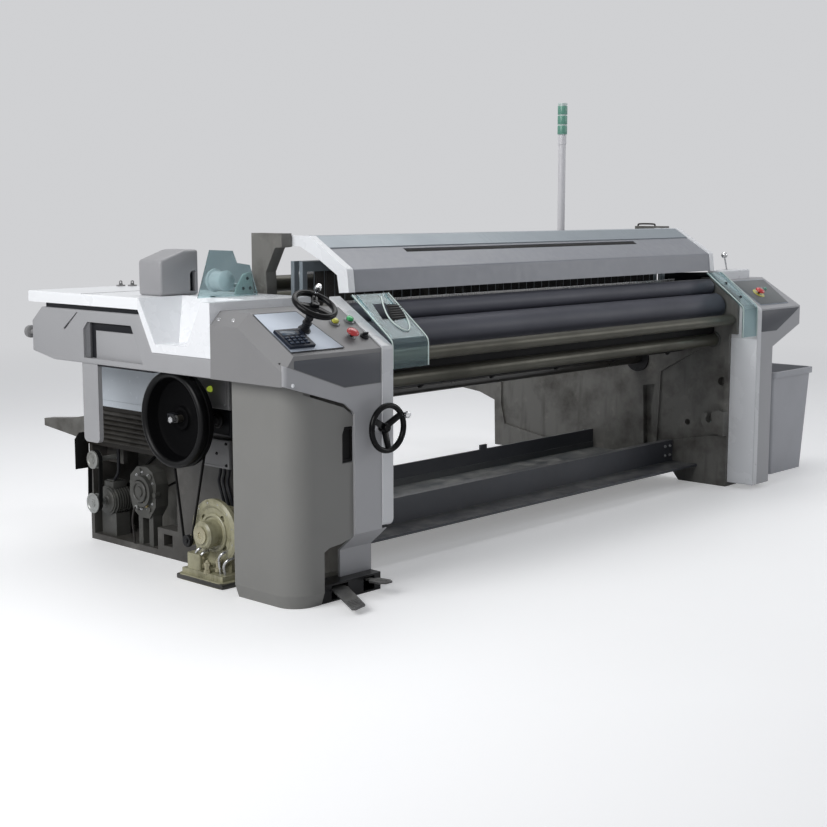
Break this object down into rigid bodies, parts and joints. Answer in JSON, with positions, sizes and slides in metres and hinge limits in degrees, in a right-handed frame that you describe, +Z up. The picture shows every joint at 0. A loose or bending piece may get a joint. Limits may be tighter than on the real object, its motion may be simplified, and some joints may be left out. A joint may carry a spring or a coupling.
{
  "type": "power loom",
  "caption": "Wide shuttleless power loom with a lifting hood, end consoles with buttons and handwheels, an open drive bay, pedals and a signal tower.",
  "frame": {"origin": "on the floor under the middle of the whole box, waste bin and rear arms included", "axes": "+X along the weaving width towards the right-hand end, the weaver stands on the -Y side, +Z up"},
  "size_m": [4.543, 2.735, 2.182],
  "materials": {
    "frame_grey": "painted casting",
    "dark_steel": "satin",
    "bright_steel": "brushed",
    "beam_black": "satin",
    "tray_steel": "satin",
    "tube_steel": "satin",
    "roller_rubber": "matt",
    "black_iron": "painted black",
    "motor_grey": "satin",
    "pump_iron": "painted",
    "belt_rubber": "matt",
    "cover_grey": "fine grain",
    "panel_grey": "fine grain",
    "plate_silver": "satin",
    "black_plastic": "fine grain",
    "trim_white": "semi-gloss",
    "table_white": "satin",
    "pale_panel": "satin",
    "guard_clear": "tinted acrylic",
    "hood_grey": "satin",
    "rail_silver": "anodised",
    "chrome_knob": "polished",
    "green_plastic": "gloss",
    "yellow_plastic": "gloss",
    "red_plastic": "gloss",
    "pedal_steel": "worn",
    "pole_pale": "satin",
    "bin_grey": "fine grain"
  },
  "bodies": {
    "machine": {"left_side_frame": "frame_grey", "right_side_frame": "frame_grey", "drive_bay_frame": "dark_steel", "shaft_bearings": "bright_steel", "front_beam": "beam_black", "rear_beam": "beam_black", "drip_tray": "tray_steel", "cross_tubes": "tube_steel", "drive_motor": "motor_grey", "let_off_gearbox": "motor_grey", "pump_unit": "pump_iron", "drive_belts": "belt_rubber", "left_leg_cover": "cover_grey", "front_panels": "panel_grey", "left_console_housing": "cover_grey", "right_console_housing": "panel_grey", "console_face_plates": "plate_silver", "keypad_unit": "black_plastic", "edge_trims": "trim_white", "left_table_top": "table_white", "thread_trough": "trim_white", "side_apron": "cover_grey", "hanging_post": "cover_grey", "access_panel": "pale_panel", "louvre_panel": "dark_steel", "terminal_box": "motor_grey", "feeder_housing": "cover_grey", "clear_guards": "guard_clear", "right_top_box": "trim_white", "pedal_box": "black_iron", "signal_tower": "pole_pale", "waste_bin": "bin_grey"},
    "main_drive": {"main_shaft": "bright_steel", "drive_wheel": "black_iron"},
    "motor_rotor": {"motor_pulley": "motor_grey"},
    "let_off_drive": {"let_off_pulley": "black_iron"},
    "pump_drive": {"pump_pulley": "black_iron"},
    "take_up": {"take_up_roller": "roller_rubber"},
    "press": {"press_roller": "roller_rubber"},
    "guide": {"guide_roller": "tube_steel"},
    "back_rest": {"back_rest_roller": "tube_steel"},
    "sley_swing": {"sley": "black_iron", "reed": "bright_steel"},
    "heald_a": {"heald_frame_a": "rail_silver"},
    "heald_b": {"heald_frame_b": "rail_silver"},
    "hood": {"hood_cover": "hood_grey", "hood_top_rail": "rail_silver", "hood_end_arches": "trim_white"},
    "console_wheel": {"console_handwheel": "black_plastic"},
    "console_grip": {"console_wheel_grip": "chrome_knob"},
    "front_wheel": {"front_handwheel": "black_plastic"},
    "front_grip": {"front_wheel_grip": "chrome_knob"},
    "start": {"start_button": "green_plastic"},
    "jog": {"jog_button": "yellow_plastic"},
    "left_stop": {"left_stop_button": "red_plastic"},
    "right_stop": {"right_stop_button": "red_plastic"},
    "key": {"key_switch": "black_plastic"},
    "left_foot_pedal": {"left_pedal": "pedal_steel"},
    "right_foot_pedal": {"right_pedal": "pedal_steel"},
    "lever": {"ball_lever": "bright_steel"}
  },
  "joints": [
    {"name": "main_shaft_spin", "type": "hinge", "parent": "machine", "child": "main_drive", "pos_m": [-0.1345, -0.3925, 0.708], "axis": [1, 0, 0], "continuous": true},
    {"name": "motor_spin", "type": "hinge", "parent": "machine", "child": "motor_rotor", "pos_m": [-0.1345, 0.4525, 0.2], "axis": [1, 0, 0], "continuous": true},
    {"name": "let_off_spin", "type": "hinge", "parent": "machine", "child": "let_off_drive", "pos_m": [-0.1345, 0.4445, 0.412], "axis": [1, 0, 0], "continuous": true},
    {"name": "pump_spin", "type": "hinge", "parent": "machine", "child": "pump_drive", "pos_m": [-0.1345, -0.3695, 0.158], "axis": [1, 0, 0], "continuous": true},
    {"name": "take_up_spin", "type": "hinge", "parent": "machine", "child": "take_up", "pos_m": [-0.1345, -0.9225, 1.047], "axis": [1, 0, 0], "continuous": true},
    {"name": "press_spin", "type": "hinge", "parent": "machine", "child": "press", "pos_m": [-0.1345, -0.87157, 1.15378], "axis": [1, 0, 0], "continuous": true},
    {"name": "guide_spin", "type": "hinge", "parent": "machine", "child": "guide", "pos_m": [-0.1345, -1.0275, 0.972], "axis": [1, 0, 0], "continuous": true},
    {"name": "back_rest_spin", "type": "hinge", "parent": "machine", "child": "back_rest", "pos_m": [-0.1345, 0.5225, 1.12], "axis": [1, 0, 0], "continuous": true},
    {"name": "sley_swing_joint", "type": "hinge", "parent": "machine", "child": "sley_swing", "pos_m": [-0.1345, -0.6975, 0.8], "axis": [1, 0, 0], "range_deg": [-8, 10]},
    {"name": "heald_a_lift", "type": "slide", "parent": "machine", "child": "heald_a", "axis": [0, 0, 1], "range_m": [-0.038, 0.038]},
    {"name": "heald_b_lift", "type": "slide", "parent": "machine", "child": "heald_b", "axis": [0, 0, 1], "range_m": [-0.038, 0.038]},
    {"name": "hood_lift", "type": "hinge", "parent": "machine", "child": "hood", "pos_m": [-0.1345, -0.5225, 1.462], "axis": [-1, 0, 0], "range_deg": [0, 60]},
    {"name": "console_wheel_spin", "type": "hinge", "parent": "machine", "child": "console_wheel", "pos_m": [-2.0375, -1.09525, 1.19896], "axis": [0, -0.5243, 0.8515], "continuous": true},
    {"name": "console_grip_spin", "type": "hinge", "parent": "console_wheel", "child": "console_grip", "pos_m": [-1.98222, -1.03915, 1.2335], "axis": [0, -0.5243, 0.8515], "continuous": true},
    {"name": "front_wheel_spin", "type": "hinge", "parent": "machine", "child": "front_wheel", "pos_m": [-1.7485, -1.1775, 0.708], "axis": [0, -1, 0], "continuous": true},
    {"name": "front_grip_spin", "type": "hinge", "parent": "front_wheel", "child": "front_grip", "pos_m": [-1.66966, -1.1775, 0.7592], "axis": [0, -1, 0], "continuous": true},
    {"name": "start_press", "type": "slide", "parent": "machine", "child": "start", "axis": [0, 0.5243, -0.8515], "range_m": [0, 0.004], "stiffness_N_per_m": 400, "springref_m": -0.004},
    {"name": "jog_press", "type": "slide", "parent": "machine", "child": "jog", "axis": [0, 0.5243, -0.8515], "range_m": [0, 0.004], "stiffness_N_per_m": 400, "springref_m": -0.004},
    {"name": "left_stop_press", "type": "slide", "parent": "machine", "child": "left_stop", "axis": [0, 0.5243, -0.8515], "range_m": [0, 0.004], "stiffness_N_per_m": 400, "springref_m": -0.004},
    {"name": "right_stop_press", "type": "slide", "parent": "machine", "child": "right_stop", "axis": [0, 0.5243, -0.8515], "range_m": [0, 0.004], "stiffness_N_per_m": 400, "springref_m": -0.004},
    {"name": "key_turn", "type": "hinge", "parent": "machine", "child": "key", "pos_m": [-1.7565, -1.10767, 1.07799], "axis": [0, -0.5243, 0.8515], "range_deg": [-45, 45]},
    {"name": "left_pedal_press", "type": "hinge", "parent": "machine", "child": "left_foot_pedal", "pos_m": [-0.1345, -1.0825, 0.044], "axis": [1, 0, 0], "range_deg": [0, 4], "stiffness_Nm_per_rad": 14, "springref_deg": -22.92},
    {"name": "right_pedal_press", "type": "hinge", "parent": "machine", "child": "right_foot_pedal", "pos_m": [-0.1345, -1.0825, 0.044], "axis": [1, 0, 0], "range_deg": [0, 12], "stiffness_Nm_per_rad": 10, "springref_deg": -22.92},
    {"name": "ball_lever_tilt", "type": "hinge", "parent": "machine", "child": "lever", "pos_m": [1.4975, -0.8675, 1.225], "axis": [1, 0, 0], "range_deg": [-18, 18]}
  ],
  "couplings": [
    {"joint": "motor_spin", "follows": "main_shaft_spin", "ratio": 3},
    {"joint": "let_off_spin", "follows": "main_shaft_spin", "ratio": 3},
    {"joint": "pump_spin", "follows": "main_shaft_spin", "ratio": 5.3846},
    {"joint": "press_spin", "follows": "take_up_spin", "ratio": -1.5652},
    {"joint": "heald_b_lift", "follows": "heald_a_lift", "ratio": -1}
  ]
}
